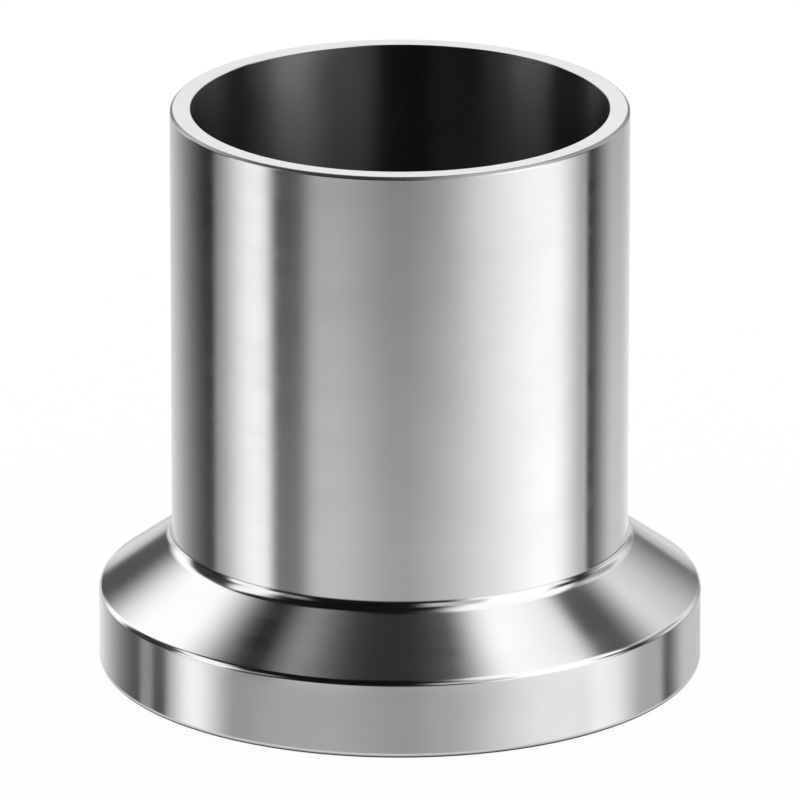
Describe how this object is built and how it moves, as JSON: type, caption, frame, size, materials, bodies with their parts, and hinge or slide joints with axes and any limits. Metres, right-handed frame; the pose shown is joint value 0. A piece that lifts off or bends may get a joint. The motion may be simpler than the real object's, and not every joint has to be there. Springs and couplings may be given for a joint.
{
  "type": "female long ferrule",
  "caption": "Turned stainless weld ferrule: a plain tube on a thick clamp flange with a conical back and a female socket in its mating face.",
  "frame": {"origin": "centre of the mating face, on the axis, where the ferrule stands on a flat surface", "axes": "+Z along the axis, from the mating face up to the weld end; X and Y are alike, because the part is turned"},
  "size_m": [0.0502, 0.0502, 0.0483],
  "materials": {
    "polished_steel": "turned and polished bright, near mirror"
  },
  "bodies": {
    "root": {"ferrule": "polished_steel"}
  },
  "joints": []
}
